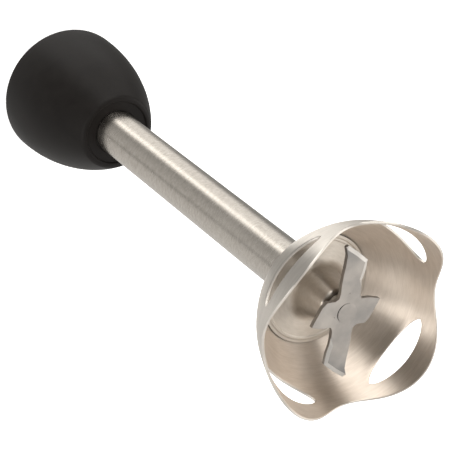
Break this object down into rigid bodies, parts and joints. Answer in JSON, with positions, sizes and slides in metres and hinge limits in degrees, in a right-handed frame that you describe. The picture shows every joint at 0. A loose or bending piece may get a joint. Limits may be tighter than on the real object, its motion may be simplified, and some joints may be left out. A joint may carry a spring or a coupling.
{
  "type": "immersion blender foot",
  "caption": "Detachable blending foot of a stick blender: bell-shaped coupling, steel tube, slotted bell with a wavy rim, and a turning blade on a shaft.",
  "frame": {"origin": "centre of the coupling's mouth, on the plane that the foot stands on", "axes": "+Z along the shaft from the coupling to the blade, +X and +Y through two neighbouring lobes of the bell"},
  "size_m": [0.0694, 0.0694, 0.22],
  "materials": {
    "soft_black_plastic": "soft matte, very fine moulded texture",
    "liner_plastic": "moulded satin",
    "brushed_steel": "satin brushed stainless",
    "blade_steel": "matte stamped stainless with a ground edge",
    "shaft_steel": "ground",
    "bearing_bronze": "sintered",
    "natural_nylon": "moulded",
    "black_rubber": "moulded rubber"
  },
  "bodies": {
    "foot": {"coupling_housing": "soft_black_plastic", "tube_seal_ring": "black_rubber", "socket_liner": "liner_plastic", "housing_screw_1": "shaft_steel", "housing_screw_2": "shaft_steel", "housing_screw_3": "shaft_steel", "tube": "brushed_steel", "upper_bearing_carrier": "liner_plastic", "upper_bush": "bearing_bronze", "shaft_guide": "natural_nylon", "lower_bearing_carrier": "liner_plastic", "lower_bush": "bearing_bronze", "carrier_o_ring": "black_rubber", "bell": "brushed_steel", "bell_floor": "brushed_steel", "shaft_seal": "black_rubber"},
    "rotor": {"drive_shaft": "shaft_steel", "drive_coupling": "natural_nylon", "coupling_pin": "shaft_steel", "retaining_clip": "shaft_steel", "thrust_washer": "natural_nylon", "blade_collar": "shaft_steel", "blade": "blade_steel"}
  },
  "joints": [
    {"name": "rotor_spin", "type": "hinge", "parent": "foot", "child": "rotor", "pos_m": [0, 0, 0.2], "axis": [0, 0, 1], "continuous": true}
  ]
}
